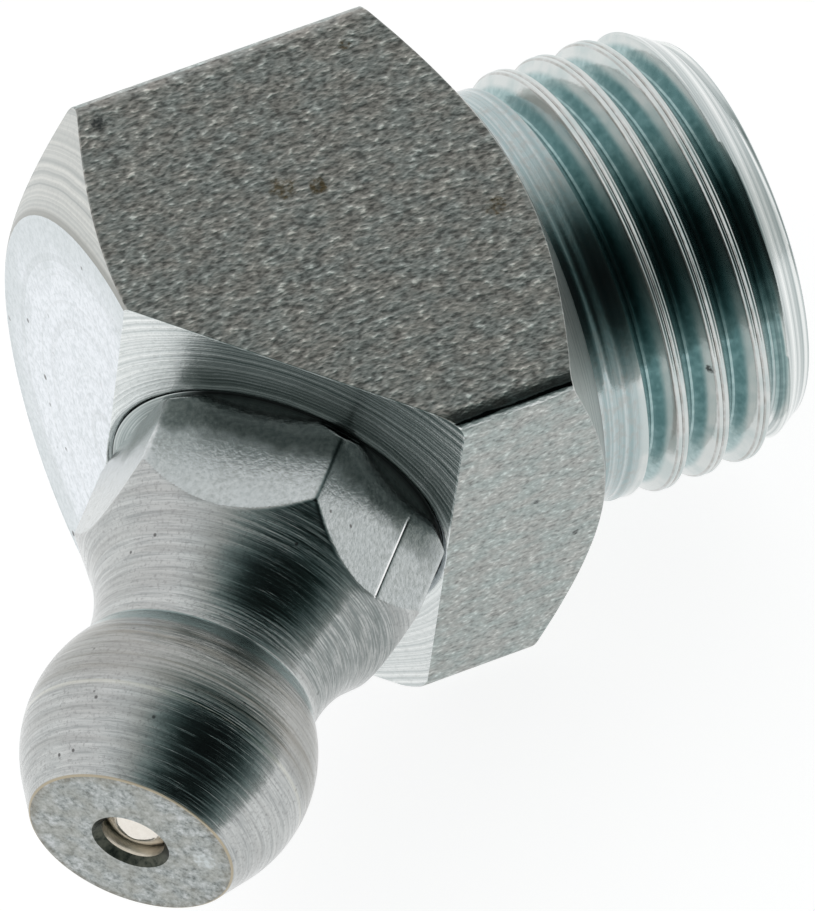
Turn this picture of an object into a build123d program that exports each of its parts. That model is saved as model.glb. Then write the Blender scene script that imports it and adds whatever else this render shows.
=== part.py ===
"""Angled grease nipple: a 45 degree elbow cut from square bar, with a pressed-in coupling head.

Millimetres. The origin is on the thread axis, at the shoulder that seats on the machine.
+X runs along the thread, away from the body. +Z is up: the part lies on one flat of its square.
The head leaves the body sideways, towards -X and -Y.
"""
from build123d import *
from math import cos, radians, sin, sqrt, tan
import os

# Elbow body: square bar
across_flats = 11.0
bar_corner_radius = 0.5
body_length = 9.5
chamfer_radius = 5.4
chamfer_angle = 30.0

# Elbow body: threaded shank, at its major diameter
thread_radius = 5.0
thread_length = 5.5
thread_tip_radius = 4.4
thread_tip_length = 1.0
relief_radius = 4.84
relief_length = 1.3
shoulder_fillet_radius = 0.2

# Elbow body: slanted face that carries the head
elbow_angle = 45.0
axis_crossing = 4.0
face_distance = 3.83
spot_face_depth = 0.9
spot_face_clearance = 0.06
spot_face_bevel = 0.12

# Elbow body: grease way
outlet_radius = 2.3
outlet_bevel = 0.3
drill_point_angle = 59.0
cross_bore_radius = 1.6

# Coupling head: turned and hexagon forms, heights above the slanted face
hexagon_across_flats = 7.0
hexagon_turn = 10.9
hexagon_height = 1.95
foot_radius = 3.78
foot_chamfer_angle = 45.0
flare_angle = 35.5
neck_fillet_radius = 3.5
neck_fill = 0.98
neck_radius = 2.66
coupling_radius = 3.25
coupling_height = 6.95
nose_angle = 30.0
nose_height = 9.4

# Coupling head: pressed shank and the way through
shank_radius = 3.0
shank_length = 2.5
shank_bevel = 0.25
press_bore_clearance = 0.1
nose_hole_radius = 0.72
nose_hole_length = 0.28
nose_hole_bevel = 0.17
valve_seat_angle = 30.0
valve_bore_radius = 1.3
crimp_thickness = 0.5
crimp_hole_radius = 0.75

# Check valve
ball_radius = 1.1
ball_seat_clearance = 0.04
spring_wire_radius = 0.15
spring_wire_sides = 8
spring_outer_radius = 1.1
spring_turns = 6.5
spring_end_clearance = 0.04

# Places worked out from the sizes above
flat = across_flats / 2
bar_corner = flat * sqrt(2) - bar_corner_radius * (sqrt(2) - 1)
hexagon_flat = hexagon_across_flats / 2
hexagon_corner = hexagon_flat / cos(radians(30))
spot_face_radius = foot_radius + spot_face_clearance
shank_end = -spot_face_depth - shank_length
seat_top = nose_height - nose_hole_length
seat_tan = tan(radians(valve_seat_angle))
seat_contact = ball_radius * cos(radians(valve_seat_angle))
seated_height = seat_top - (seat_contact - nose_hole_radius) / seat_tan
seated_height -= ball_radius * sin(radians(valve_seat_angle))
ball_height = seated_height - ball_seat_clearance / sin(radians(valve_seat_angle))

head_direction = Vector(-cos(radians(elbow_angle)), -sin(radians(elbow_angle)), 0)
face_centre = Vector(-axis_crossing, 0, 0) + head_direction * face_distance

# Frame of the head: local +Z runs out along the head, local +X lies level along the slanted face
head_across = Vector(sin(radians(elbow_angle)), -cos(radians(elbow_angle)), 0)
head_plane = Plane(origin=face_centre, x_dir=head_across, z_dir=head_direction)

# Frame of the thread: local +Z runs out along the thread
thread_plane = Plane(origin=(0, 0, 0), x_dir=(0, 1, 0), z_dir=(1, 0, 0))


def at(r, z):
    """The point of a half section at a radius and a height."""
    return (r, 0, z)


def turned(points, plane):
    """A solid turned about the local Z axis of a plane, from (radius, height) corners."""
    outline = make_face(Polyline([at(r, z) for r, z in points], close=True))
    return plane * revolve(outline, Axis.Z)


def chamfered_bar():
    """Square bar with rounded corners, its two ends turned to cones."""
    section = RectangleRounded(across_flats, across_flats, bar_corner_radius)
    bar = thread_plane * Pos(0, 0, -body_length) * extrude(section, body_length)
    drop = (bar_corner - chamfer_radius) * tan(radians(chamfer_angle))
    ends = [
        (0, -body_length),
        (chamfer_radius, -body_length),
        (bar_corner, drop - body_length),
        (bar_corner, -drop),
        (chamfer_radius, 0),
        (0, 0),
    ]
    return bar & turned(ends, thread_plane)


def threaded_shank():
    """Shank at the thread's major diameter, with its relief at the shoulder and its tapered tip."""
    root = relief_radius + shoulder_fillet_radius
    corners = [
        at(relief_radius, shoulder_fillet_radius),
        at(relief_radius, relief_length),
        at(thread_radius, relief_length + thread_radius - relief_radius),
        at(thread_radius, thread_length - thread_tip_length),
        at(thread_tip_radius, thread_length),
        at(0, thread_length),
        at(0, -relief_length),
        at(root, -relief_length),
        at(root, 0),
    ]
    middle = at(
        root - shoulder_fillet_radius * sin(radians(45)),
        shoulder_fillet_radius * (1 - cos(radians(45))),
    )
    outline = [Polyline(corners), ThreePointArc(corners[-1], middle, corners[0])]
    return thread_plane * revolve(make_face(outline), Axis.Z)


def grease_way():
    """Outlet bore from the thread's end, drilled a little past the crossing of the axes."""
    point = outlet_radius / tan(radians(drill_point_angle))
    outline = [
        (0, -axis_crossing - point),
        (outlet_radius, -axis_crossing),
        (outlet_radius, thread_length - outlet_bevel),
        (outlet_radius + outlet_bevel, thread_length),
        (0, thread_length),
    ]
    return turned(outline, thread_plane)


def head_pocket():
    """Spot face for the hexagon's foot, bore for the pressed shank, bore on to the grease way."""
    outline = [
        (0, -face_distance),
        (cross_bore_radius, -face_distance),
        (cross_bore_radius, shank_end - press_bore_clearance),
        (shank_radius, shank_end - press_bore_clearance),
        (shank_radius, -spot_face_depth),
        (spot_face_radius, -spot_face_depth),
        (spot_face_radius, -spot_face_bevel),
        (spot_face_radius + spot_face_bevel, 0),
        (0, 0),
    ]
    return turned(outline, head_plane)


def elbow_body():
    """The elbow: bar, shank, slanted face, head pocket and grease way."""
    waste = head_plane * extrude(Rectangle(4 * across_flats, 4 * across_flats), 2 * across_flats)
    return chamfered_bar() - waste + threaded_shank() - head_pocket() - grease_way()


def head_outline():
    """Outside of the head above the spot face: foot, hexagon, flare, waisted neck, coupling, nose."""
    chamfer_rise = (hexagon_corner - foot_radius) * tan(radians(foot_chamfer_angle))
    flare = radians(flare_angle)
    nose = radians(nose_angle)
    junction_drop = sqrt(coupling_radius**2 - neck_radius**2)
    junction = (neck_radius, coupling_height - junction_drop)
    # The fillet is no larger than the neck has room for
    room = (junction[1] - hexagon_height) * tan(flare) + neck_radius - hexagon_corner
    fillet_radius = min(neck_fillet_radius, neck_fill * room / (1 / cos(flare) - 1))
    fillet_centre_r = neck_radius + fillet_radius
    fillet_height = hexagon_height + (
        fillet_radius / cos(flare) - fillet_centre_r + hexagon_corner
    ) / tan(flare)
    flare_end = (
        fillet_centre_r - fillet_radius * cos(flare),
        fillet_height - fillet_radius * sin(flare),
    )
    nose_start = (
        coupling_radius * cos(nose),
        coupling_height + coupling_radius * sin(nose),
    )
    nose_edge_r = nose_start[0] - (nose_height - nose_start[1]) * tan(nose)
    waist = (neck_radius, fillet_height)
    half_flare = flare / 2
    fillet_middle = at(
        fillet_centre_r - fillet_radius * cos(half_flare),
        fillet_height - fillet_radius * sin(half_flare),
    )
    edges = [
        Line(at(0, -spot_face_depth), at(foot_radius, -spot_face_depth)),
        Line(at(foot_radius, -spot_face_depth), at(foot_radius, 0)),
        Line(at(foot_radius, 0), at(hexagon_corner, chamfer_rise)),
        Line(at(hexagon_corner, chamfer_rise), at(hexagon_corner, hexagon_height)),
        Line(at(hexagon_corner, hexagon_height), at(*flare_end)),
        ThreePointArc(at(*flare_end), fillet_middle, at(*waist)),
        Line(at(*waist), at(*junction)),
        ThreePointArc(at(*junction), at(coupling_radius, coupling_height), at(*nose_start)),
        Line(at(*nose_start), at(nose_edge_r, nose_height)),
        Line(at(nose_edge_r, nose_height), at(0, nose_height)),
        Line(at(0, nose_height), at(0, -spot_face_depth)),
    ]
    return make_face(edges)


def valve_way():
    """Way through the head: crimped end, valve bore, seat cone and nose hole."""
    seat_drop = (valve_bore_radius - nose_hole_radius) / seat_tan
    outline = [
        (0, shank_end),
        (crimp_hole_radius, shank_end),
        (crimp_hole_radius, shank_end + crimp_thickness),
        (valve_bore_radius, shank_end + crimp_thickness),
        (valve_bore_radius, seat_top - seat_drop),
        (nose_hole_radius, seat_top),
        (nose_hole_radius, nose_height - nose_hole_bevel),
        (nose_hole_radius + nose_hole_bevel, nose_height),
        (0, nose_height),
    ]
    return turned(outline, Plane.XY)


def nipple_head():
    """The coupling head: one turned piece with a hexagon collar and a shank pressed into the body."""
    collar = RegularPolygon(hexagon_flat, 6, major_radius=False, rotation=hexagon_turn)
    prism = Pos(0, 0, -spot_face_depth) * extrude(collar, spot_face_depth + nose_height)
    upper = revolve(head_outline(), Axis.Z) & prism
    shank = turned(
        [
            (0, shank_end),
            (shank_radius - shank_bevel, shank_end),
            (shank_radius, shank_end + shank_bevel),
            (shank_radius, -spot_face_depth),
            (0, -spot_face_depth),
        ],
        Plane.XY,
    )
    return head_plane * (upper + shank - valve_way())


def check_ball():
    """Steel ball that closes the nose hole from inside."""
    return head_plane * Pos(0, 0, ball_height) * Sphere(ball_radius)


def check_spring():
    """Helical spring between the crimped end and the back of the ball."""
    mean_radius = spring_outer_radius - spring_wire_radius
    foot = shank_end + crimp_thickness + spring_wire_radius + spring_end_clearance
    reach = ball_radius + spring_wire_radius + spring_end_clearance
    top = ball_height - sqrt(reach**2 - mean_radius**2)
    height = top - foot
    path = Pos(0, 0, foot) * Helix(height / spring_turns, height, mean_radius)
    start = Plane(origin=path @ 0, z_dir=path % 0)
    section = start * RegularPolygon(spring_wire_radius, spring_wire_sides)
    return head_plane * sweep(section, path, is_frenet=True)


def main():
    os.makedirs("parts", exist_ok=True)
    export_step(elbow_body(), "parts/elbow_body.step")
    export_step(nipple_head(), "parts/nipple_head.step")
    export_step(check_ball(), "parts/check_ball.step")
    export_step(check_spring(), "parts/check_spring.step")


main()
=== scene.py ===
"""Looks of the angled grease nipple: zinc-plated steel, lying on one flat of its square body."""
import bmesh
import bpy
import numpy as np
from math import atan, cos, degrees, pi, radians, sin, sqrt, tan
from mathutils import Matrix, Vector

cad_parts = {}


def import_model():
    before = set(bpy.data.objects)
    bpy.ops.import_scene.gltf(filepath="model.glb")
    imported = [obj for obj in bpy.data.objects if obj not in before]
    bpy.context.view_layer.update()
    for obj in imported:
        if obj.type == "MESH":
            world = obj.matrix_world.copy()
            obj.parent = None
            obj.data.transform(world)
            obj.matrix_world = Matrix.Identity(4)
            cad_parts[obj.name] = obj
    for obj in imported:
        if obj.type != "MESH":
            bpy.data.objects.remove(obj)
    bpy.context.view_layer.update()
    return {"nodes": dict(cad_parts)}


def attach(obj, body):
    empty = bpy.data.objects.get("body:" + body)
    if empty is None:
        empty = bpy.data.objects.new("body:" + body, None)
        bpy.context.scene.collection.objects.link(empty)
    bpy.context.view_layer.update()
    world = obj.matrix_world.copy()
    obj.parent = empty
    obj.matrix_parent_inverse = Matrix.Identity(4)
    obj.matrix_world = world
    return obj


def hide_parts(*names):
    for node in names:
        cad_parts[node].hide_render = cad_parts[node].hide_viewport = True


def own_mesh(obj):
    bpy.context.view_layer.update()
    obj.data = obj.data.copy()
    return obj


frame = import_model()

MM = 0.001

# Sizes in millimetres, as the solids have them
FLAT = 5.5
AXIS_CROSSING = 4.0
FACE_DISTANCE = 3.83

THREAD_RADIUS = 5.0
THREAD_ROOT_RADIUS = 4.39
THREAD_LENGTH = 5.5
THREAD_PITCH = 1.0
TIP_RADIUS = 4.4
TIP_LENGTH = 1.0
BLANK_RADIUS = 4.84
SHOULDER_FILLET = 0.2
OUTLET_RADIUS = 2.3
OUTLET_BEVEL = 0.3
THREAD_START_ANGLE = 28.7
THREAD_START_CREST = 1.73

SPOT_FACE_DEPTH = 0.9
SHANK_LENGTH = 2.5
SHANK_RADIUS = 3.0
SHANK_BEVEL = 0.25
HEXAGON_FLAT = 3.5
HEXAGON_TURN = 10.9
HEXAGON_HEIGHT = 1.95
FOOT_RADIUS = 3.78
FLARE_ANGLE = 35.5
NECK_FILLET = 3.5
NECK_RADIUS = 2.66
COUPLING_RADIUS = 3.25
COUPLING_HEIGHT = 6.95
NOSE_ANGLE = 30.0
NOSE_HEIGHT = 9.4
NOSE_HOLE_RADIUS = 0.72
NOSE_HOLE_LENGTH = 0.28
NOSE_HOLE_BEVEL = 0.17
SEAT_ANGLE = 30.0
VALVE_BORE_RADIUS = 1.3
CRIMP_THICKNESS = 0.5
CRIMP_HOLE_RADIUS = 0.75
BALL_RADIUS = 1.1
BALL_SEAT_CLEARANCE = 0.04
SPRING_WIRE_RADIUS = 0.15
SPRING_MEAN_RADIUS = 0.95
SPRING_TURNS = 6.5
SPRING_END_CLEARANCE = 0.04

# Frame of the head: local Z runs out along the head, local X lies along the slanted face
HEAD_Z = Vector((-1, -1, 0)).normalized()
HEAD_X = Vector((1, -1, 0)).normalized()
HEAD_Y = Vector((0, 0, 1))
FACE_CENTRE = Vector((-AXIS_CROSSING, 0, 0)) + HEAD_Z * FACE_DISTANCE


def mesh_object(name, points, faces):
    """A mesh object from points in millimetres."""
    mesh = bpy.data.meshes.new(name)
    mesh.from_pydata([tuple(p) for p in np.asarray(points) * MM], [], faces)
    mesh.validate()
    mesh.update()
    obj = bpy.data.objects.new(name, mesh)
    bpy.context.scene.collection.objects.link(obj)
    return obj


# Points nearer than this, in metres, are one point
MERGE_DISTANCE = 1e-7


def clean(obj):
    """Merges points that coincide, drops the faces that lose their area and turns all faces outwards."""
    bm = bmesh.new()
    bm.from_mesh(obj.data)
    bmesh.ops.remove_doubles(bm, verts=bm.verts, dist=MERGE_DISTANCE)
    bmesh.ops.dissolve_degenerate(bm, dist=MERGE_DISTANCE, edges=bm.edges)
    bmesh.ops.recalc_face_normals(bm, faces=bm.faces)
    bm.to_mesh(obj.data)
    bm.free()
    return obj


def smooth(obj, angle=30.0):
    """Smooth shading, with edges sharper than the angle kept."""
    obj.data.polygons.foreach_set("use_smooth", [True] * len(obj.data.polygons))
    obj.data.set_sharp_from_angle(angle=radians(angle))
    obj.data.update()
    return obj


def ring_faces(rows, columns, closed):
    """Quads between rows of points that each go once round; closed joins the last row to the first."""
    faces = []
    for i in range(rows if closed else rows - 1):
        a = i * columns
        b = ((i + 1) % rows) * columns
        for j in range(columns):
            k = (j + 1) % columns
            faces.append((a + j, a + k, b + k, b + j))
    return faces


def smooth_min(a, b, width):
    """The lower of two heights, with the crease between them rounded."""
    gap = np.maximum(width - np.abs(a - b), 0)
    return np.minimum(a, b) - gap * gap / (4 * width)


def smooth_step(low, high, x):
    t = np.clip((x - low) / (high - low), 0, 1)
    return t * t * (3 - 2 * t)


def arc_points(centre, radius, start, end, count):
    """Points of a (radius, height) outline along an arc, angles in degrees from the radial direction."""
    return [
        (centre[0] + radius * cos(radians(a)), centre[1] + radius * sin(radians(a)))
        for a in np.linspace(start, end, count)
    ]


def line_points(start, end, step):
    """Points of a straight stretch of an outline, without its end."""
    length = sqrt((end[0] - start[0]) ** 2 + (end[1] - start[1]) ** 2)
    count = max(1, int(round(length / step)))
    return [
        (start[0] + (end[0] - start[0]) * i / count, start[1] + (end[1] - start[1]) * i / count)
        for i in range(count)
    ]


# Body: the solid without its shank, with its edges rounded
EDGE_RADIUS = 0.03
EDGE_SEGMENTS = 3
SHARP_EDGE = 24.0
SHOULDER_CUT = -0.001
COPLANAR = 0.2
NORMAL_WEIGHT = 90

# Points of the solid nearer than this, in metres, are one point
WELD_DISTANCE = 1e-8


def body_block():
    node = frame["nodes"]["elbow_body"]
    obj = bpy.data.objects.new("dressed_elbow", node.data.copy())
    bpy.context.scene.collection.objects.link(obj)
    bm = bmesh.new()
    bm.from_mesh(obj.data)
    bmesh.ops.remove_doubles(bm, verts=bm.verts, dist=WELD_DISTANCE)
    cut = bmesh.ops.bisect_plane(
        bm,
        geom=bm.verts[:] + bm.edges[:] + bm.faces[:],
        dist=WELD_DISTANCE,
        plane_co=(SHOULDER_CUT * MM, 0, 0),
        plane_no=(1, 0, 0),
        clear_outer=True,
    )
    rim = [e for e in cut["geom_cut"] if isinstance(e, bmesh.types.BMEdge)]
    bmesh.ops.triangle_fill(bm, edges=rim, use_beauty=True)
    bmesh.ops.dissolve_limit(bm, angle_limit=radians(COPLANAR), verts=bm.verts, edges=bm.edges)
    bmesh.ops.recalc_face_normals(bm, faces=bm.faces)
    bm.to_mesh(obj.data)
    bm.free()
    normals = obj.data.attributes.get("custom_normal")
    if normals:
        obj.data.attributes.remove(normals)
    bevel = obj.modifiers.new("edges", "BEVEL")
    bevel.width = EDGE_RADIUS * MM
    bevel.segments = EDGE_SEGMENTS
    bevel.limit_method = "ANGLE"
    bevel.angle_limit = radians(SHARP_EDGE)
    bevel.use_clamp_overlap = False
    bevel.harden_normals = False
    smooth(obj)
    weighted = obj.modifiers.new("normals", "WEIGHTED_NORMAL")
    weighted.keep_sharp = True
    weighted.weight = NORMAL_WEIGHT
    return obj


# Thread: a closed shank with a rolled helical thread, a run-out at the shoulder and a tapered tip
THREAD_COLUMNS = 384
CREST_HALF_WIDTH = 0.115
CREST_SEAM_DEPTH = 0.045
CREST_SEAM_WIDTH = 0.034
CREST_ROUNDING = 0.07
FLANK_ANGLE = 30.0
ROOT_ROUNDING = 0.16
TIP_EDGE = 0.05
TIP_FACE_RING = 0.6
MOUTH_EDGE = 0.02
SHANK_FOOT = -0.05
THREAD_SHARP_EDGE = 38

# Run-out: crests rise, and troughs sink in two steps, between these distances from the shoulder
CREST_RUN_OUT = (1.25, 1.7)
FIRST_SINKING = (0.25, 0.6)
SECOND_SINKING = (0.75, 1.2)
FIRST_SHARE = 0.14

# Crests to try, and how far off the shank a row may be and still be kept
CRESTS = range(-4, 6)
ROW_MARGIN = 0.07

# Places within one pitch, from the middle of a crest, where the mesh has its rows
ROWS_IN_HALF_PITCH = (0.0, 0.015, 0.03, 0.045, 0.06, 0.075, 0.09, 0.105, 0.12, 0.14, 0.17, 0.21, 0.26,
                      0.31, 0.36, 0.40, 0.44, 0.47)


def thread_profile(turn):
    """Radius of the rolled thread at a place in its pitch; 0 is the middle of a crest."""
    x = np.abs((turn + 0.5) % 1.0 - 0.5) * THREAD_PITCH
    crest = THREAD_RADIUS - CREST_SEAM_DEPTH * np.exp(-((x / CREST_SEAM_WIDTH) ** 2))
    flank = THREAD_RADIUS + (CREST_HALF_WIDTH - x) / tan(radians(FLANK_ANGLE))
    cut = smooth_min(crest, flank, CREST_ROUNDING)
    return -smooth_min(-cut, -THREAD_ROOT_RADIUS, ROOT_ROUNDING)


def shank_radius(x, turn):
    """Radius of the shank at a height x above the shoulder."""
    form = thread_profile(turn) - BLANK_RADIUS
    raised = np.maximum(form, 0) * smooth_step(*CREST_RUN_OUT, x)
    first = FIRST_SHARE * smooth_step(*FIRST_SINKING, x)
    second = (1 - FIRST_SHARE) * smooth_step(*SECOND_SINKING, x)
    sunk = np.minimum(form, 0) * (first + second)
    radius = BLANK_RADIUS + raised + sunk
    tip_slope = (THREAD_RADIUS - TIP_RADIUS) / TIP_LENGTH
    tip = TIP_RADIUS + (THREAD_LENGTH - x) * tip_slope
    radius = smooth_min(radius, tip, TIP_EDGE)
    root = np.clip(SHOULDER_FILLET - x, 0, SHOULDER_FILLET)
    fillet = SHOULDER_FILLET - np.sqrt(np.maximum(SHOULDER_FILLET**2 - root**2, 0))
    return radius + fillet


def helical_rows(angles, low, high):
    """Rows of (height, radius) that follow the thread, held between two heights."""
    half = np.array(ROWS_IN_HALF_PITCH)
    places = np.concatenate([-half[:0:-1], half]) * THREAD_PITCH
    first = THREAD_START_CREST - THREAD_PITCH * radians(THREAD_START_ANGLE) / (2 * pi)
    lead = THREAD_PITCH * angles / (2 * pi)
    rows = []
    for crest in CRESTS:
        for place in places:
            start = first + crest * THREAD_PITCH + place
            if start + THREAD_PITCH < low - ROW_MARGIN or start > high + ROW_MARGIN:
                continue
            height = np.clip(start + lead, low, high)
            turn = (height - first - lead) / THREAD_PITCH
            rows.append(np.stack([height, shank_radius(height, turn)], 1))
    return rows


def grid_faces(rows, columns):
    """Quads of an open grid of points."""
    return [
        (i * columns + j, i * columns + j + 1, (i + 1) * columns + j + 1, (i + 1) * columns + j)
        for i in range(rows - 1)
        for j in range(columns - 1)
    ]


def shank_points(rows, angles):
    return np.concatenate([
        np.stack([row[:, 0], row[:, 1] * np.cos(angles), row[:, 1] * np.sin(angles)], 1) for row in rows
    ])


def threaded_shank():
    angles = np.linspace(0, 2 * pi, THREAD_COLUMNS + 1)
    low, high = SHANK_FOOT, THREAD_LENGTH - TIP_EDGE
    rows = helical_rows(angles, low, high)
    last = rows[-1]
    for turn in (30, 60, 90):
        rise = TIP_EDGE * sin(radians(turn))
        inset = TIP_EDGE * (1 - cos(radians(turn)))
        rows.append(np.stack([last[:, 0] + rise, last[:, 1] - inset], 1))
    inner = [
        (THREAD_LENGTH, OUTLET_RADIUS + OUTLET_BEVEL + TIP_FACE_RING),
        (THREAD_LENGTH, OUTLET_RADIUS + OUTLET_BEVEL + MOUTH_EDGE),
        (THREAD_LENGTH - MOUTH_EDGE, OUTLET_RADIUS + OUTLET_BEVEL),
        (THREAD_LENGTH - OUTLET_BEVEL, OUTLET_RADIUS),
        (THREAD_LENGTH / 2, OUTLET_RADIUS),
        (low, OUTLET_RADIUS),
    ]
    for x, r in inner:
        rows.append(np.tile([x, r], (len(angles), 1)))
    rows.append(rows[0])
    points = shank_points(rows, angles)
    obj = mesh_object("threaded_shank", points, grid_faces(len(rows), len(angles)))
    return smooth(clean(obj), THREAD_SHARP_EDGE)


# Head: turned about its own axis, with the hexagon cut into it
HEAD_SECTOR_COLUMNS = 56
SECTOR_EVENNESS = 0.25
HEAD_SHARP_EDGE = 35
HEXAGON_ROUNDING = 0.05
HEXAGON_REACH = 0.3

# Steps along the head's outline; a whole step leaves a straight stretch undivided
WHOLE_STEP = 1
COARSE_STEP = 0.1
HEAD_STEP = 0.05
HOLE_STEP = 0.03
FINE_STEP = 0.02
NECK_ARC_POINTS = 30
BALL_ARC_POINTS = 60

# The head's foot is round up to here and has the hexagon above it
COLLAR_TOP = -0.06
COLLAR_RADIUS = 3.83
COLLAR_HEIGHT = 0.2
COLLAR_SLOPE = 0.05
COLLAR_EDGE = 0.01
COLLAR_STEP = 0.002
NOSE_EDGE = 0.03
NOSE_EDGE_INSET = 0.006
NOSE_EDGE_SHARE = 0.3

# A groove scored along one flat of the hexagon: across from the flat's middle, and between two heights
NICK_SECTOR = 0
NICK_ACROSS = -0.67
NICK_WIDTH = 0.04
NICK_DEPTH = 0.016
NICK_FROM = 0.36
NICK_TO = 2.62
NICK_FADE = 0.1
NICK_SPREAD = 1.8
NICK_COLUMNS = 13
NICK_CLEARANCE = 0.3


def head_profile():
    """The head's closed outline as (radius, height) points, up the outside and back down the inside."""
    flare = radians(FLARE_ANGLE)
    nose = radians(NOSE_ANGLE)
    corner = HEXAGON_FLAT / cos(radians(30))
    shank_end = -SPOT_FACE_DEPTH - SHANK_LENGTH
    fillet_r = NECK_RADIUS + NECK_FILLET
    fillet_h = HEXAGON_HEIGHT + (NECK_FILLET / cos(flare) - fillet_r + corner) / tan(flare)
    flare_end = (fillet_r - NECK_FILLET * cos(flare), fillet_h - NECK_FILLET * sin(flare))
    drop = sqrt(COUPLING_RADIUS**2 - NECK_RADIUS**2)
    junction_angle = -degrees(atan(drop / NECK_RADIUS))
    nose_start = (COUPLING_RADIUS * cos(nose), COUPLING_HEIGHT + COUPLING_RADIUS * sin(nose))
    nose_edge = nose_start[0] - (NOSE_HEIGHT - nose_start[1]) * tan(nose)
    seat_top = NOSE_HEIGHT - NOSE_HOLE_LENGTH
    seat_drop = (VALVE_BORE_RADIUS - NOSE_HOLE_RADIUS) / tan(radians(SEAT_ANGLE))
    lip = NOSE_HOLE_RADIUS + NOSE_HOLE_BEVEL
    bevel_top = (SHANK_RADIUS, shank_end + SHANK_BEVEL)
    shank_top = (SHANK_RADIUS, -SPOT_FACE_DEPTH)
    points = line_points((SHANK_RADIUS - SHANK_BEVEL, shank_end), bevel_top, WHOLE_STEP)
    points += line_points(bevel_top, shank_top, WHOLE_STEP)
    points += line_points(shank_top, (FOOT_RADIUS, -SPOT_FACE_DEPTH), HEAD_STEP)
    collar_foot = COLLAR_TOP - COLLAR_HEIGHT
    points += [(FOOT_RADIUS, -SPOT_FACE_DEPTH), (FOOT_RADIUS, collar_foot)]
    points += [(COLLAR_RADIUS, collar_foot + COLLAR_SLOPE), (COLLAR_RADIUS, COLLAR_TOP - COLLAR_EDGE)]
    points += [(COLLAR_RADIUS - COLLAR_EDGE, COLLAR_TOP), (FOOT_RADIUS, COLLAR_TOP + COLLAR_STEP)]
    points += line_points((FOOT_RADIUS, 0), (corner, corner - FOOT_RADIUS), FINE_STEP)
    points += line_points((corner, corner - FOOT_RADIUS), (corner, HEXAGON_HEIGHT), COARSE_STEP)
    points += line_points((corner, HEXAGON_HEIGHT), flare_end, FINE_STEP)
    points += arc_points((fillet_r, fillet_h), NECK_FILLET, 180 + FLARE_ANGLE, 180, NECK_ARC_POINTS)
    ball_centre = (0, COUPLING_HEIGHT)
    points += arc_points(ball_centre, COUPLING_RADIUS, junction_angle, NOSE_ANGLE, BALL_ARC_POINTS)
    edge_start = (nose_edge + NOSE_EDGE * tan(nose), NOSE_HEIGHT - NOSE_EDGE)
    points += line_points(nose_start, edge_start, HEAD_STEP)[1:]
    points += [edge_start, (nose_edge - NOSE_EDGE_INSET, NOSE_HEIGHT - NOSE_EDGE_SHARE * NOSE_EDGE)]
    hole_top = (NOSE_HOLE_RADIUS, NOSE_HEIGHT - NOSE_HOLE_BEVEL)
    points += line_points((nose_edge - NOSE_EDGE, NOSE_HEIGHT), (lip, NOSE_HEIGHT), COARSE_STEP)
    points += line_points((lip, NOSE_HEIGHT), hole_top, HOLE_STEP)
    points += [hole_top, (NOSE_HOLE_RADIUS, seat_top)]
    points += [(VALVE_BORE_RADIUS, seat_top - seat_drop)]
    points += [(VALVE_BORE_RADIUS, shank_end + CRIMP_THICKNESS)]
    points += [(CRIMP_HOLE_RADIUS, shank_end + CRIMP_THICKNESS), (CRIMP_HOLE_RADIUS, shank_end)]
    return np.array(points)


def sector_angles(sector):
    """Angles across one flat of the hexagon, from its middle, closer together near its corners."""
    u = np.linspace(-1, 1, HEAD_SECTOR_COLUMNS, endpoint=False)
    within = 30 * (SECTOR_EVENNESS * u + (1 - SECTOR_EVENNESS) * np.sin(pi * u / 2))
    if sector == NICK_SECTOR:
        across = NICK_ACROSS + NICK_WIDTH * np.linspace(-NICK_SPREAD, NICK_SPREAD, NICK_COLUMNS)
        extra = np.degrees(np.arctan(across / HEXAGON_FLAT))
        outside = (within < extra[0] - NICK_CLEARANCE) | (within > extra[-1] + NICK_CLEARANCE)
        within = np.sort(np.concatenate([within[outside], extra]))
    return within


def nick_depth(sector, within, height):
    """Depth of the groove that is scored along one flat of the hexagon."""
    if sector != NICK_SECTOR:
        return 0 * within
    across = HEXAGON_FLAT * np.tan(np.radians(within)) - NICK_ACROSS
    fade = smooth_step(NICK_FROM, NICK_FROM + NICK_FADE, height)
    fade *= 1 - smooth_step(NICK_TO - NICK_FADE, NICK_TO, height)
    return NICK_DEPTH * np.exp(-((across / NICK_WIDTH) ** 2)) * fade


def coupling_head():
    profile = head_profile()
    sectors = [sector_angles(k) for k in range(6)]
    turn = np.radians(np.concatenate(sectors))
    angle = np.concatenate([np.radians(HEXAGON_TURN + 30 + 60 * k + s) for k, s in enumerate(sectors)])
    near = HEXAGON_FLAT / np.cos(turn)
    other = HEXAGON_FLAT / np.maximum(np.cos(radians(60) - np.abs(turn)), 0.1)
    flats = smooth_min(near, other, HEXAGON_ROUNDING)
    points = []
    for r, h in profile:
        radius = np.full(angle.shape, r)
        if r > HEXAGON_FLAT - HEXAGON_REACH and h > COLLAR_TOP:
            nick = np.concatenate([nick_depth(k, s, h) for k, s in enumerate(sectors)])
            radius = smooth_min(radius, flats - nick, HEXAGON_ROUNDING)
        local = np.stack([radius * np.cos(angle), radius * np.sin(angle), np.full(angle.shape, h)], 1)
        points.append(local)
    local = np.concatenate(points)
    world = np.array(FACE_CENTRE) + local @ np.array([HEAD_X, HEAD_Y, HEAD_Z])
    obj = mesh_object("dressed_head", world, ring_faces(len(profile), len(angle), True))
    return smooth(clean(obj), HEAD_SHARP_EDGE)


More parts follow.
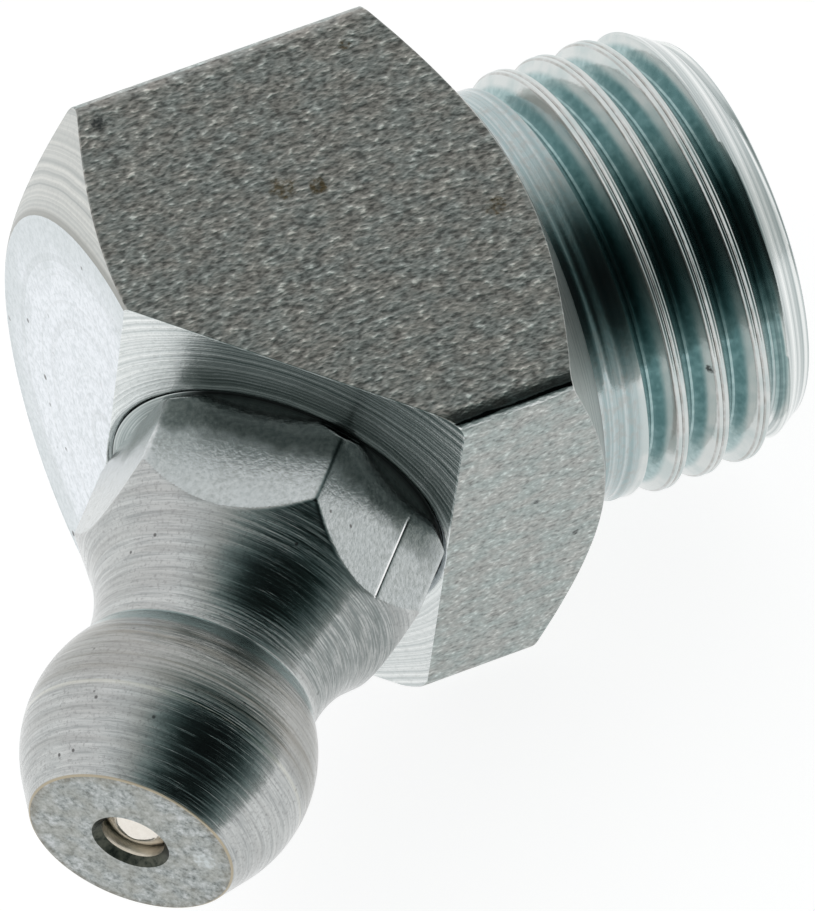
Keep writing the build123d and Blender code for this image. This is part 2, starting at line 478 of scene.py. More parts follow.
# Marks: where each lies, in millimetres, its radius and its colour
BROWN = (0.10, 0.075, 0.04, 1)
DARK = (0.05, 0.055, 0.055, 1)
DRAWN_MARKS = (
    ((-4.97, 1.58, FLAT), 0.24, (0.13, 0.105, 0.065, 1)),
    ((-4.20, 1.35, FLAT), 0.19, BROWN),
    ((-7.95, 4.66, FLAT), 0.15, DARK),
    ((-2.08, 4.48, FLAT), 0.12, BROWN),
    ((-0.85, -0.62, FLAT), 0.22, BROWN),
    ((-1.82, -FLAT, 1.15), 0.07, DARK),
    ((-0.65, -FLAT, -0.79), 0.08, DARK),
)
NOSE_SPOT = FACE_CENTRE + HEAD_Z * NOSE_HEIGHT + HEAD_X * 1.70 + HEAD_Y * 0.28
THREAD_SPOT = (2.87, -4.40, 2.12)

# Painted light along one rounded corner of the bar: a painted highlight, and a dark painted reflection
# beside it
PAINTED_CORNER_LINES = (
    ((0, -5.41, 5.28), 0.030, (0.85, 0.87, 0.86, 1)),
    ((0, -5.33, 5.37), 0.022, (0.01, 0.012, 0.012, 1)),
)

# Painted shade on the slanted face and on the collar's top starts here, across from the head's axis
PAINTED_SHADE_FROM = -2.3

# Heights on the head between which a finish starts, is full, fades and ends
NECK_SHADOW = (2.2, 2.7, 4.6, 5.0)
NECK_GROOVE = (5.04, 5.09, 5.38, 5.56)
BALL_BACK = (5.35, 5.6, 7.1, 7.42)
BALL_RING = (7.40, 7.44, 7.47, 7.54)

# The same for radii of the thread, and for places across the scored groove: its pale line, bare metal with
# a painted highlight, and its painted shadow
CREST_SEAM = (4.93, 4.94, 4.972, 4.985)
SCORE_PALE_AND_HIGHLIGHT = (-0.004, 0.006, 0.044, 0.056)
SCORE_PAINTED_SHADOW = (-0.036, -0.026, -0.010, -0.004)


# Materials
class Nodes:
    """Short ways to build a material's node tree."""

    def __init__(self, name):
        self.material = bpy.data.materials.new(name)
        self.material.use_nodes = True
        self.tree = self.material.node_tree
        self.tree.nodes.clear()
        self.output = self.add("ShaderNodeOutputMaterial")
        self.shader = self.add("ShaderNodeBsdfPrincipled")
        self.link(self.shader, "BSDF", self.output, "Surface")
        self.place = self.add("ShaderNodeTexCoord").outputs["Object"]

    def add(self, kind, **settings):
        node = self.tree.nodes.new(kind)
        for key, value in settings.items():
            setattr(node, key, value)
        return node

    def link(self, a, out, b, into):
        self.tree.links.new(a.outputs[out], b.inputs[into])

    def join(self, socket, value):
        if isinstance(value, bpy.types.NodeSocket):
            self.tree.links.new(value, socket)
        else:
            socket.default_value = value

    def math(self, operation, a, b):
        node = self.add("ShaderNodeMath", operation=operation)
        self.join(node.inputs[0], a)
        self.join(node.inputs[1], b)
        return node.outputs[0]

    def times(self, a, b):
        return self.math("MULTIPLY", a, b)

    def plus(self, a, b):
        return self.math("ADD", a, b)

    def vector(self, operation, a, b=(0, 0, 0)):
        node = self.add("ShaderNodeVectorMath", operation=operation)
        self.join(node.inputs[0], a)
        self.join(node.inputs[1], b)
        return node.outputs["Value"] if operation in ("DOT_PRODUCT", "LENGTH") else node.outputs["Vector"]

    def noise(self, vector, scale, detail=3.0, roughness=0.5, distortion=0.0):
        node = self.add("ShaderNodeTexNoise", noise_dimensions="3D")
        self.join(node.inputs["Vector"], vector)
        node.inputs["Scale"].default_value = scale
        node.inputs["Detail"].default_value = detail
        node.inputs["Roughness"].default_value = roughness
        node.inputs["Distortion"].default_value = distortion
        return node.outputs["Fac"]

    def span(self, value, low, high, to_low=0.0, to_high=1.0, smooth=False):
        node = self.add("ShaderNodeMapRange", clamp=True)
        if smooth:
            node.interpolation_type = "SMOOTHSTEP"
        self.join(node.inputs["Value"], value)
        for name, number in zip(("From Min", "From Max", "To Min", "To Max"), (low, high, to_low, to_high)):
            node.inputs[name].default_value = number
        return node.outputs["Result"]

    def band(self, value, places, smooth=False):
        """1 between the middle two of four places, 0 outside them all; the end may fade smoothly."""
        start, full, fade, end = places
        return self.times(self.span(value, start, full), self.span(value, fade, end, 1, 0, smooth))

    def mix(self, factor, a, b, blend="MIX"):
        node = self.add("ShaderNodeMix", data_type="RGBA", blend_type=blend)
        self.join(node.inputs[0], factor)
        self.join(node.inputs[6], a)
        self.join(node.inputs[7], b)
        return node.outputs[2]

    def ramp(self, value, stops):
        node = self.add("ShaderNodeValToRGB")
        self.join(node.inputs["Fac"], value)
        elements = node.color_ramp.elements
        while len(elements) > 1:
            elements.remove(elements[-1])
        elements[0].position = stops[0][0]
        elements[0].color = stops[0][1]
        for position, colour in stops[1:]:
            elements.new(position).color = colour
        return node.outputs["Color"]

    def bump(self, height, distance):
        """A bump whose height from 0 to 1 is a distance in millimetres."""
        node = self.add("ShaderNodeBump")
        node.inputs["Strength"].default_value = 1.0
        node.inputs["Distance"].default_value = distance * MM
        self.join(node.inputs["Height"], height)
        return node.outputs["Normal"]

    def millimetres(self, stretch=(1, 1, 1)):
        """The place in the row frame, in millimetres, with each axis stretched."""
        return self.vector("MULTIPLY", self.place, tuple(s / MM for s in stretch))

    def along_head(self, direction):
        """How far a place lies from the middle of the slanted face along a direction, in millimetres."""
        offset = self.vector("SUBTRACT", self.millimetres(), tuple(FACE_CENTRE))
        return self.vector("DOT_PRODUCT", offset, tuple(direction))

    def scaled(self, vector, factor):
        node = self.add("ShaderNodeVectorMath", operation="SCALE")
        self.join(node.inputs[0], vector)
        self.join(node.inputs["Scale"], factor)
        return node.outputs["Vector"]

    def about_axis(self, origin, axis):
        """A place as an offset square to an axis through a point, and a height along it, in millimetres."""
        offset = self.vector("SUBTRACT", self.millimetres(), tuple(origin))
        height = self.vector("DOT_PRODUCT", offset, tuple(axis))
        return self.vector("SUBTRACT", offset, self.scaled(tuple(axis), height)), height

    def distance_from(self, origin, axis):
        """Distance from an axis through a point, in millimetres."""
        return self.vector("LENGTH", self.about_axis(origin, axis)[0])

    def line_noise(self, value, scale, detail):
        """Noise along one value, such as a distance, so that it draws rings or lines."""
        place = self.add("ShaderNodeCombineXYZ")
        self.join(place.inputs["X"], value)
        return self.noise(place.outputs["Vector"], scale, detail, 0.6)

    def streaks(self, along_scale, around_scale, detail):
        """Broken lines about the head's axis; the scales are along the axis and around it."""
        aside, height = self.about_axis(FACE_CENTRE, HEAD_Z)
        around = self.scaled(self.vector("NORMALIZE", aside), around_scale)
        rise = self.scaled(tuple(HEAD_Z), self.times(height, along_scale))
        return self.noise(self.vector("ADD", around, rise), 1.0, detail, 0.6)

    def blotch(self, centre, radius):
        """1 inside a ragged spot about a place in millimetres, 0 outside it."""
        place = self.millimetres()
        offset = self.vector("LENGTH", self.vector("SUBTRACT", place, tuple(centre)))
        ragged = self.times(self.noise(place, 1.2 / radius, 4.0, 0.75), radius * 2.2)
        inside = self.span(self.plus(offset, ragged), radius * 1.9, radius * 2.5, 1, 0, True)
        return self.times(inside, self.span(self.noise(place, 9.0, 2.0), 0.40, 0.62, 0.92, 0.25))

    def pits(self, scale, radius):
        """Small round pits; some of the cells have none."""
        cells = self.add("ShaderNodeTexVoronoi")
        self.join(cells.inputs["Vector"], self.millimetres())
        cells.inputs["Scale"].default_value = scale / 2
        near = self.span(cells.outputs["Distance"], radius, radius * 2, 1, 0, True)
        some = self.span(self.noise(self.millimetres(), 1.1, 1.0), 0.5, 0.56)
        return self.times(near, some)

    def finish(self, colour, roughness, normal=None):
        self.join(self.shader.inputs["Base Color"], colour)
        self.join(self.shader.inputs["Roughness"], roughness)
        self.shader.inputs["Metallic"].default_value = 1.0
        if normal is not None:
            self.join(self.shader.inputs["Normal"], normal)
        return self.material


def grey(value, warm=0.0):
    """A grey, warmer above 0 and cooler below."""
    return (value * (1 + warm), value, value * (1 - warm), 1.0)


def drawn_skin(name, shades, tints, across, along, relief, gloss):
    """As-drawn bar surface: small pebbles, longer along the bar, with stains; the pebbles' tops are painted
    brighter as glints and their hollows, the pits, darker as shade, and one corner has painted light.
    """
    n = Nodes(name)
    place = n.millimetres((along / across, 1, 1))
    pebble = n.noise(place, across, 1.6, 0.55)
    worms = n.noise(n.vector("ADD", place, (7.3, 2.1, 4.4)), across * 0.62, 1.0, 0.5, 0.35)
    tint = n.noise(n.millimetres((0.7, 1, 1)), 2.3, 3.0, 0.6)
    form = n.plus(n.times(pebble, 0.62), n.times(worms, 0.38))
    # Painted light from the relief: brighter pebble tops as glints, darker hollows as shade
    shade = n.ramp(form, [(stop, (value, value, value * 0.97, 1)) for stop, value in shades])
    colour = n.mix(n.span(tint, 0.38, 0.62), (*tints[0], 1), (*tints[1], 1))
    shade = n.mix(1.0, shade, colour, "MULTIPLY")
    section = n.millimetres((0, 1, 1))
    wander = n.noise(n.millimetres((0.5, 1, 1)), 2.5, 3.0, 0.7)
    ragged = n.times(n.math("SUBTRACT", wander, 0.5), 0.16)
    # Painted highlight and dark painted reflection along the rounded corner
    for centre, half_width, stain_and_sheen in PAINTED_CORNER_LINES:
        away = n.vector("LENGTH", n.vector("SUBTRACT", section, centre))
        away = n.plus(away, ragged)
        shade = n.mix(n.span(away, half_width, half_width + 0.025, 1, 0), shade, stain_and_sheen)
    for centre, radius, stain_and_sheen in DRAWN_MARKS:
        shade = n.mix(n.blotch(centre, radius), shade, stain_and_sheen)
    return n.finish(shade, n.span(form, 0.35, 0.65, gloss[0], gloss[1]), n.bump(form, relief))


def drawn_flat():
    """Upper and lower flats of the bar: dull, warm grey."""
    shades = [(0.37, 0.14), (0.455, 0.245), (0.53, 0.295), (0.60, 0.385), (0.68, 0.68)]
    tints = ((1.035, 1.0, 0.955), (0.955, 1.0, 0.985))
    return drawn_skin("drawn_flat", shades, tints, 9.6, 5.8, 0.034, (0.42, 0.28))


def drawn_side_painted_lighter():
    """The other two flats of the bar: the same skin painted paler, as a lit copy, and finer."""
    shades = [(0.32, 0.24), (0.43, 0.36), (0.52, 0.42), (0.60, 0.49), (0.68, 0.66)]
    tints = ((0.97, 1.0, 0.99), (0.89, 1.0, 1.0))
    return drawn_skin("drawn_side_painted_lighter", shades, tints, 12.5, 8.5, 0.016, (0.40, 0.30))


def turned_end():
    """Faced end of the bar: pale, with faint rings about the bar's axis and small dark pits."""
    n = Nodes("turned_end")
    distance = n.distance_from((0, 0, 0), (1, 0, 0))
    wander = n.noise(n.millimetres(), 0.7, 2.0)
    around = n.plus(distance, n.times(wander, 0.10))
    rings = n.line_noise(around, 6.5, 3.0)
    few = n.line_noise(around, 1.9, 1.0)
    speckle = n.noise(n.millimetres(), 9.0, 3.0, 0.6)
    shade = n.mix(n.span(speckle, 0.40, 0.68), (0.90, 0.93, 0.97, 1), (0.70, 0.74, 0.77, 1))
    shade = n.mix(n.span(rings, 0.54, 0.68, 0, 0.28), shade, (0.50, 0.53, 0.53, 1))
    shade = n.mix(n.span(few, 0.58, 0.63, 0, 0.16), shade, (0.44, 0.47, 0.47, 1))
    outer = n.span(n.plus(distance, n.times(wander, 1.6)), 4.6, 5.9, 0, 0.45, True)
    shade = n.mix(outer, shade, (0.56, 0.61, 0.61, 1))
    shade = n.mix(n.pits(3.2, 0.07), shade, (0.20, 0.20, 0.20, 1))
    relief = n.plus(rings, n.times(speckle, 0.5))
    return n.finish(shade, 0.42, n.bump(relief, 0.014))


def turned_cone():
    """Turned chamfer at the bar's ends, with rings along its slope."""
    n = Nodes("turned_cone")
    distance = n.distance_from((0, 0, 0), (1, 0, 0))
    wander = n.noise(n.millimetres(), 0.9, 2.0)
    along = n.plus(distance, n.times(wander, 0.06))
    rings = n.line_noise(along, 9.0, 3.0)
    speckle = n.noise(n.millimetres(), 9.0, 3.0, 0.6)
    shade = n.mix(n.span(rings, 0.35, 0.65), (0.44, 0.46, 0.45, 1), (0.72, 0.72, 0.69, 1))
    shade = n.mix(n.span(speckle, 0.5, 0.75, 0, 0.3), shade, grey(0.38))
    shade = n.mix(n.span(distance, 5.44, 5.62, 0.7, 0, True), shade, (0.30, 0.30, 0.28, 1))
    relief = n.plus(rings, n.times(speckle, 0.4))
    return n.finish(shade, 0.34, n.bump(relief, 0.014))


def painted_face_shade(n):
    """How much painted shade the slanted face gets: 1 above the head, 0 at one side and below."""
    wander = n.noise(n.millimetres(), 1.3, 2.0)
    across = n.plus(n.along_head(HEAD_X), wander)
    level = n.plus(n.along_head(HEAD_Y), wander)
    across = n.span(across, PAINTED_SHADE_FROM - 0.2, PAINTED_SHADE_FROM + 1.2, 0, 1, True)
    return n.times(across, n.span(level, 1.0, 2.4, 0, 1, True))


def milled_face():
    """Slanted face: spot-faced about the head, with fine arcs, painted shade above the head and a brighter
    rim round the spot face.
    """
    n = Nodes("milled_face")
    distance = n.distance_from(FACE_CENTRE, HEAD_Z)
    wander = n.noise(n.millimetres(), 0.9, 2.0)
    around = n.plus(distance, n.times(wander, 0.12))
    rings = n.line_noise(around, 9.0, 4.0)
    rim = n.times(n.span(distance, 3.95, 4.3, 1, 0), n.span(rings, 0.42, 0.60))
    speckle = n.noise(n.millimetres(), 8.0, 3.0, 0.6)
    shade = n.mix(n.span(rings, 0.38, 0.64), (0.56, 0.60, 0.60, 1), (0.90, 0.92, 0.91, 1))
    shade = n.mix(n.span(speckle, 0.5, 0.75, 0, 0.35), shade, (0.42, 0.46, 0.45, 1))
    # Painted shade over the face above the head, lighter along the rings
    painted_shade = n.times(painted_face_shade(n), n.span(rings, 0.40, 0.62, 1, 0.45))
    shade = n.mix(painted_shade, shade, (0.095, 0.13, 0.125, 1))
    shade = n.mix(rim, shade, (0.80, 0.84, 0.84, 1))
    relief = n.plus(rings, n.times(speckle, 0.35))
    return n.finish(shade, 0.25, n.bump(relief, 0.018))


def turned_head():
    """Turned neck and ball: broken streaks about the head's axis, duller on the ball's back."""
    n = Nodes("turned_head")
    streaks = n.streaks(13.0, 1.3, 4.0)
    fine = n.streaks(36.0, 4.5, 3.0)
    broad = n.streaks(4.5, 0.6, 2.0)
    grain = n.noise(n.millimetres(), 13.0, 3.0, 0.65)
    height = n.along_head(HEAD_Z)
    shade = n.mix(n.span(streaks, 0.38, 0.62), (0.34, 0.355, 0.355, 1), (0.52, 0.535, 0.53, 1))
    shade = n.mix(n.span(fine, 0.40, 0.62, 0, 0.50), shade, (0.62, 0.63, 0.62, 1))
    shade = n.mix(n.span(broad, 0.46, 0.60, 0, 0.35), shade, (0.36, 0.36, 0.35, 1))
    shade = n.mix(n.span(grain, 0.52, 0.68, 0, 0.55), shade, grey(0.25))
    shade = n.mix(n.pits(3.4, 0.045), shade, grey(0.14))
    back = n.times(n.band(height, BALL_BACK, True), n.span(broad, 0.36, 0.56, 0.75, 0.30))
    shade = n.mix(back, shade, (0.235, 0.222, 0.195, 1))
    shade = n.mix(n.times(n.band(height, NECK_GROOVE, True), 0.7), shade, (0.25, 0.36, 0.355, 1))
    shade = n.mix(n.times(n.band(height, BALL_RING), 0.40), shade, (0.66, 0.65, 0.57, 1))
    shadow = n.band(height, NECK_SHADOW, True)
    shadow = n.times(shadow, n.span(n.along_head(HEAD_X), 1.1, 2.0, 0, 1, True))
    shadow = n.times(shadow, n.span(fine, 0.42, 0.60, 0.75, 0.25))
    shade = n.mix(shadow, shade, (0.14, 0.17, 0.165, 1))
    edge = n.span(height, NOSE_HEIGHT - 1.3 * NOSE_EDGE, NOSE_HEIGHT - NOSE_EDGE)
    shade = n.mix(edge, shade, (0.42, 0.37, 0.28, 1))
    patchy = n.span(n.streaks(1.6, 1.4, 2.0), 0.42, 0.60, 0.25, 1)
    lines = n.span(n.streaks(17.0, 1.0, 2.0), 0.60, 0.72)
    relief = n.times(n.times(streaks, patchy), 0.8)
    for part, weight in ((lines, 0.14), (broad, 0.9), (fine, 0.10)):
        relief = n.plus(relief, n.times(part, weight))
    return n.finish(shade, n.span(streaks, 0.35, 0.65, 0.17, 0.12), n.bump(relief, 0.022))


def hexagon_flat():
    """Flats of the hexagon: grey with small specks, painted shade at the upper flats' foot; one has a
    scored groove whose pale line is bare metal with a painted highlight, beside a painted shadow.
    """
    n = Nodes("hexagon_flat")
    speckle = n.noise(n.millimetres(), 9.0, 3.0, 0.6)
    broad = n.noise(n.millimetres(), 1.5, 2.0, 0.5)
    height = n.along_head(HEAD_Z)
    level = n.along_head(HEAD_Y)
    shade = n.mix(n.span(speckle, 0.38, 0.66), (0.62, 0.645, 0.65, 1), (0.46, 0.485, 0.48, 1))
    shade = n.mix(n.span(broad, 0.4, 0.6, 0, 0.4), shade, (0.58, 0.61, 0.62, 1))
    shade = n.mix(n.pits(3.5, 0.05), shade, grey(0.2))
    # Painted shade at the foot of the flats that face up
    wander = n.times(n.math("SUBTRACT", n.noise(n.millimetres(), 2.0, 3.0, 0.6), 0.5), 0.9)
    foot = n.span(n.plus(height, wander), 0.65, 1.20, 1, 0, True)
    painted_foot_shade = n.mix(n.span(speckle, 0.36, 0.62), (0.08, 0.105, 0.10, 1), (0.20, 0.225, 0.215, 1))
    shade = n.mix(n.times(foot, n.span(level, 0.7, 1.3, 0, 0.88)), shade, painted_foot_shade)
    angle = radians(HEXAGON_TURN + 30 + 60 * NICK_SECTOR)
    sideways = HEAD_Y * cos(angle) - HEAD_X * sin(angle)
    outwards = HEAD_X * cos(angle) + HEAD_Y * sin(angle)
    out = n.along_head(outwards)
    here = n.span(out, HEXAGON_FLAT - 0.15, HEXAGON_FLAT - 0.10)
    here = n.times(here, n.span(height, NICK_FROM, NICK_FROM + 0.2))
    aside = n.math("SUBTRACT", n.along_head(sideways), NICK_ACROSS)
    # Painted shadow along one side of the groove, and a pale line beside it: bare metal with a painted
    # highlight
    shade = n.mix(n.times(n.band(aside, SCORE_PAINTED_SHADOW), here), shade, grey(0.06))
    shade = n.mix(n.times(n.band(aside, SCORE_PALE_AND_HIGHLIGHT), here), shade, grey(1.0))
    return n.finish(shade, 0.22, n.bump(speckle, 0.008))


def collar_top():
    """Top of the round foot: painted dark as shade, with a near-black painted shadow at its rim, but at one
    side unshaded, with the face's fine arcs.
    """
    n = Nodes("collar_top")
    distance = n.distance_from(FACE_CENTRE, HEAD_Z)
    rings = n.line_noise(distance, 14.0, 3.0)
    across = n.along_head(HEAD_X)
    start, full = PAINTED_SHADE_FROM - 0.4, PAINTED_SHADE_FROM + 0.5
    # Painted shade over the collar's top, fading out at one side
    painted_shade = n.span(across, start, full, 0, 0.97, True)
    shade = n.mix(n.span(rings, 0.40, 0.62), (0.34, 0.40, 0.40, 1), (0.72, 0.76, 0.75, 1))
    shade = n.mix(painted_shade, shade, (0.060, 0.075, 0.072, 1))
    # Painted shadow in the gap at the collar's rim
    rim = n.span(distance, COLLAR_RADIUS - 0.22, COLLAR_RADIUS - 0.06)
    rim = n.times(rim, n.span(across, start, full, 0, 0.95, True))
    shade = n.mix(rim, shade, (0.006, 0.007, 0.007, 1))
    return n.finish(shade, 0.28, n.bump(rings, 0.014))


def nose_flat():
    """Flat nose round the hole: mottled, with a cleaner spot."""
    n = Nodes("nose_flat")
    mottle = n.noise(n.millimetres(), 6.0, 5.0, 0.75)
    broad = n.noise(n.millimetres(), 1.7, 2.0, 0.5)
    shade = n.ramp(mottle, [
        (0.34, (0.14, 0.155, 0.15, 1)),
        (0.45, (0.30, 0.325, 0.32, 1)),
        (0.54, (0.42, 0.445, 0.44, 1)),
        (0.66, (0.60, 0.62, 0.63, 1)),
    ])
    shade = n.mix(n.span(broad, 0.42, 0.60, 0, 0.40), shade, (0.37, 0.365, 0.32, 1))
    distance = n.distance_from(FACE_CENTRE, HEAD_Z)
    edge = n.times(n.span(distance, 2.12, 2.32), n.span(mottle, 0.40, 0.56, 0.9, 0.25))
    shade = n.mix(edge, shade, (0.23, 0.215, 0.18, 1))
    shade = n.mix(n.blotch(NOSE_SPOT, 0.24), shade, (0.62, 0.66, 0.67, 1))
    return n.finish(shade, 0.38, n.bump(mottle, 0.018))


def hole_wall():
    """Inside of the nose hole and its bevel: dark and mottled."""
    n = Nodes("hole_wall")
    mottle = n.noise(n.millimetres(), 6.0, 3.0, 0.6)
    shade = n.mix(n.span(mottle, 0.35, 0.65), (0.030, 0.036, 0.030, 1), (0.10, 0.105, 0.085, 1))
    return n.finish(shade, n.span(mottle, 0.35, 0.65, 0.26, 0.40), n.bump(mottle, 0.01))


def seat_wall():
    """Wall and seat inside the nose hole: bare, worn bright by the ball."""
    n = Nodes("seat_wall")
    mottle = n.noise(n.millimetres(), 6.0, 2.0, 0.5)
    shade = n.mix(mottle, (0.95, 0.92, 0.86, 1), (0.84, 0.80, 0.73, 1))
    return n.finish(shade, 0.35, n.bump(mottle, 0.006))


def thread_metal():
    """Rolled thread: smooth and blue-green, darker in its troughs as painted shade, with a worn, browner
    seam along its crest.
    """
    n = Nodes("thread_metal")
    distance = n.distance_from((0, 0, 0), (1, 0, 0))
    speckle = n.noise(n.millimetres((1, 0.6, 0.6)), 7.0, 3.0, 0.6)
    broad = n.noise(n.millimetres(), 1.2, 2.0, 0.5)
    worn = n.noise(n.millimetres((2.0, 1, 1)), 1.9, 4.0, 0.75)
    # Troughs painted darker and bluer than the flanks: painted shade in the thread's hollows
    trough = n.mix(n.span(speckle, 0.38, 0.66), (0.25, 0.375, 0.38, 1), (0.37, 0.50, 0.505, 1))
    flank = n.mix(n.span(broad, 0.42, 0.62), (0.64, 0.67, 0.66, 1), (0.54, 0.60, 0.595, 1))
    shade = n.mix(n.span(distance, 4.62, 4.78, 0, 1, True), trough, flank)
    seam = n.mix(n.span(worn, 0.36, 0.66), (0.26, 0.23, 0.20, 1), grey(0.60))
    shade = n.mix(n.times(n.band(distance, CREST_SEAM), 0.6), shade, seam)
    along = n.vector("DOT_PRODUCT", n.millimetres(), (1, 0, 0))
    plain = n.span(along, 1.05, 1.25, 1, 0)
    relief_rings = n.line_noise(along, 7.0, 3.0)
    relief = n.mix(n.span(relief_rings, 0.42, 0.60), (0.33, 0.42, 0.43, 1), (0.52, 0.58, 0.585, 1))
    relief = n.mix(n.span(speckle, 0.46, 0.66, 0, 0.5), relief, (0.40, 0.39, 0.37, 1))
    shade = n.mix(plain, shade, relief)
    tip = n.span(along, THREAD_LENGTH - 0.95, THREAD_LENGTH - 0.80)
    turned = n.line_noise(distance, 8.0, 3.0)
    turned = n.mix(n.span(turned, 0.42, 0.58), (0.42, 0.47, 0.47, 1), (0.86, 0.88, 0.87, 1))
    shade = n.mix(tip, shade, turned)
    shade = n.mix(n.blotch(THREAD_SPOT, 0.10), shade, grey(0.01))
    return n.finish(shade, 0.14, n.bump(speckle, 0.003))


def ball_metal():
    n = Nodes("ball_metal")
    marks = n.noise(n.millimetres(), 6.0, 2.0)
    return n.finish(n.mix(marks, (0.86, 0.82, 0.76, 1), (0.76, 0.71, 0.64, 1)), 0.12)


def spring_metal():
    n = Nodes("spring_metal")
    marks = n.noise(n.millimetres(), 6.0, 2.0)
    return n.finish(n.mix(marks, grey(0.5), grey(0.35, 0.05)), 0.3)


def use_materials(obj, materials):
    obj.data.materials.clear()
    for material in materials:
        obj.data.materials.append(material)


# Which finish each face of the body has
FLAT_FINISH, END_FINISH, CUT_FINISH, CONE_FINISH, SIDE_FINISH = range(5)

# How square to a direction a face is that belongs to it, and how little it leans along another
SQUARE = 0.95
SIDE_SQUARE = 0.55
LEAN = 0.05

# The flats lie further than this from the bar's axis, and the bores nearer
BORES_WITHIN = 5.0

# The head's pocket with a margin, whose faces have the slanted face's finish
POCKET_RADIUS = FOOT_RADIUS + 0.4
POCKET_DEPTH = SPOT_FACE_DEPTH + SHANK_LENGTH + 0.2


def finish_body(obj):
    use_materials(obj, [drawn_flat(), turned_end(), milled_face(), turned_cone(), drawn_side_painted_lighter()])
    for face in obj.data.polygons:
        n = face.normal
        c = face.center / MM
        offset = c - FACE_CENTRE
        drawn = abs(n.x) < LEAN and c.yz.length > BORES_WITHIN
        in_pocket = offset.cross(HEAD_Z).length < POCKET_RADIUS and offset.dot(HEAD_Z) > -POCKET_DEPTH
        if drawn and abs(n.y) > SIDE_SQUARE:
            kind = SIDE_FINISH
        elif drawn:
            kind = FLAT_FINISH
        elif n.x < -SQUARE:
            kind = END_FINISH
        elif n.dot(HEAD_Z) > SQUARE or in_pocket:
            kind = CUT_FINISH
        else:
            kind = CONE_FINISH
        face.material_index = kind


# Which finish each face of the head has
TURNED_FINISH, HEXAGON_FINISH, NOSE_FINISH, HOLE_FINISH, SEAT_FINISH, COLLAR_FINISH = range(6)

# Slopes and places that tell the head's faces apart
NOSE_SLOPE = 0.97
COLLAR_SLOPE_FROM = 0.3
FLAT_SLOPE = 0.1
NOSE_FROM = NOSE_HEIGHT - 0.05
HOLE_FROM = NOSE_HEIGHT - NOSE_HOLE_BEVEL - 0.01
SEAT_FROM = NOSE_HEIGHT - 1.5
FLATS_TO = HEXAGON_HEIGHT + 1.2
FLATS_RADIUS = HEXAGON_FLAT - 0.1


def finish_head(obj):
    use_materials(obj, [turned_head(), hexagon_flat(), nose_flat(), hole_wall(), seat_wall(), collar_top()])
    for face in obj.data.polygons:
        slope = face.normal.dot(HEAD_Z)
        offset = face.center / MM - FACE_CENTRE
        height = offset.dot(HEAD_Z)
        distance = (offset - HEAD_Z * height).length
        if slope > NOSE_SLOPE and height > NOSE_FROM:
            kind = NOSE_FINISH
        elif distance < NOSE_HOLE_RADIUS + NOSE_HOLE_BEVEL and height > HOLE_FROM:
            kind = HOLE_FINISH
        elif distance < VALVE_BORE_RADIUS and height > SEAT_FROM:
            kind = SEAT_FINISH
        elif height < 0 and slope > COLLAR_SLOPE_FROM:
            kind = COLLAR_FINISH
        elif abs(slope) < FLAT_SLOPE and height < FLATS_TO and distance > FLATS_RADIUS:
            kind = HEXAGON_FINISH
        else:
            kind = TURNED_FINISH
        face.material_index = kind


# Check spring: round wire, from the crimped end to the back of the ball
SPRING_STEPS_IN_TURN = 48
SPRING_WIRE_COLUMNS = 16


def spring_ends():
    """Heights of the wire's middle at the spring's foot and top."""
    seat = radians(SEAT_ANGLE)
    seated = NOSE_HEIGHT - NOSE_HOLE_LENGTH - (BALL_RADIUS * cos(seat) - NOSE_HOLE_RADIUS) / tan(seat)
    ball = seated - BALL_RADIUS * sin(seat) - BALL_SEAT_CLEARANCE / sin(seat)
    reach = BALL_RADIUS + SPRING_WIRE_RADIUS + SPRING_END_CLEARANCE
    foot = CRIMP_THICKNESS + SPRING_WIRE_RADIUS + SPRING_END_CLEARANCE - SPOT_FACE_DEPTH - SHANK_LENGTH
    return foot, ball - sqrt(reach**2 - SPRING_MEAN_RADIUS**2)


def check_spring():
    """The spring as a tube that follows a helix, with closed ends."""
    foot, top = spring_ends()
    rows = int(SPRING_TURNS * SPRING_STEPS_IN_TURN) + 1
    turn = np.linspace(0, 2 * pi * SPRING_TURNS, rows)
    x, y, z = (np.array(tuple(v)) for v in (HEAD_X, HEAD_Y, HEAD_Z))
    radial = np.outer(np.cos(turn), x) + np.outer(np.sin(turn), y)
    onward = np.outer(np.cos(turn), y) - np.outer(np.sin(turn), x)
    onward = onward * SPRING_MEAN_RADIUS + z * (top - foot) / (2 * pi * SPRING_TURNS)
    onward /= np.linalg.norm(onward, axis=1)[:, None]
    aside = np.cross(onward, radial)
    middle = np.array(tuple(FACE_CENTRE)) + radial * SPRING_MEAN_RADIUS
    middle += np.outer(np.linspace(foot, top, rows), z)
    angles = np.linspace(0, 2 * pi, SPRING_WIRE_COLUMNS, endpoint=False)
    cosine, sine = np.cos(angles)[None, :, None], np.sin(angles)[None, :, None]
    wire = radial[:, None] * cosine + aside[:, None] * sine
    points = (middle[:, None] + wire * SPRING_WIRE_RADIUS).reshape(-1, 3)
    faces = ring_faces(rows, SPRING_WIRE_COLUMNS, False)
    faces.append(tuple(range(SPRING_WIRE_COLUMNS)))
    faces.append(tuple(range(len(points) - SPRING_WIRE_COLUMNS, len(points))))
    return smooth(clean(mesh_object("dressed_spring", points, faces)))


def dress():
    block = body_block()
    finish_body(block)
    shank = threaded_shank()
    use_materials(shank, [thread_metal()])
    head = coupling_head()
    finish_head(head)
    spring = check_spring()
    use_materials(spring, [spring_metal()])
    for piece, node, slot in (
        (block, "elbow_body", "plated_body"),
        (shank, "elbow_body", "plated_body"),
        (head, "nipple_head", "plated_head"),
        (spring, "check_spring", "spring_steel"),
    ):
        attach(piece, "fitting")
        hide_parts(node)
    use_materials(frame["nodes"]["check_ball"], [ball_metal()])
    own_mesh(spring)


# Floor, light and camera
FLOOR_HALF = 300
FLOOR_GAP = 0.002
FLOOR_COLOUR = 0.35
FLOOR_GLOW = 0.87


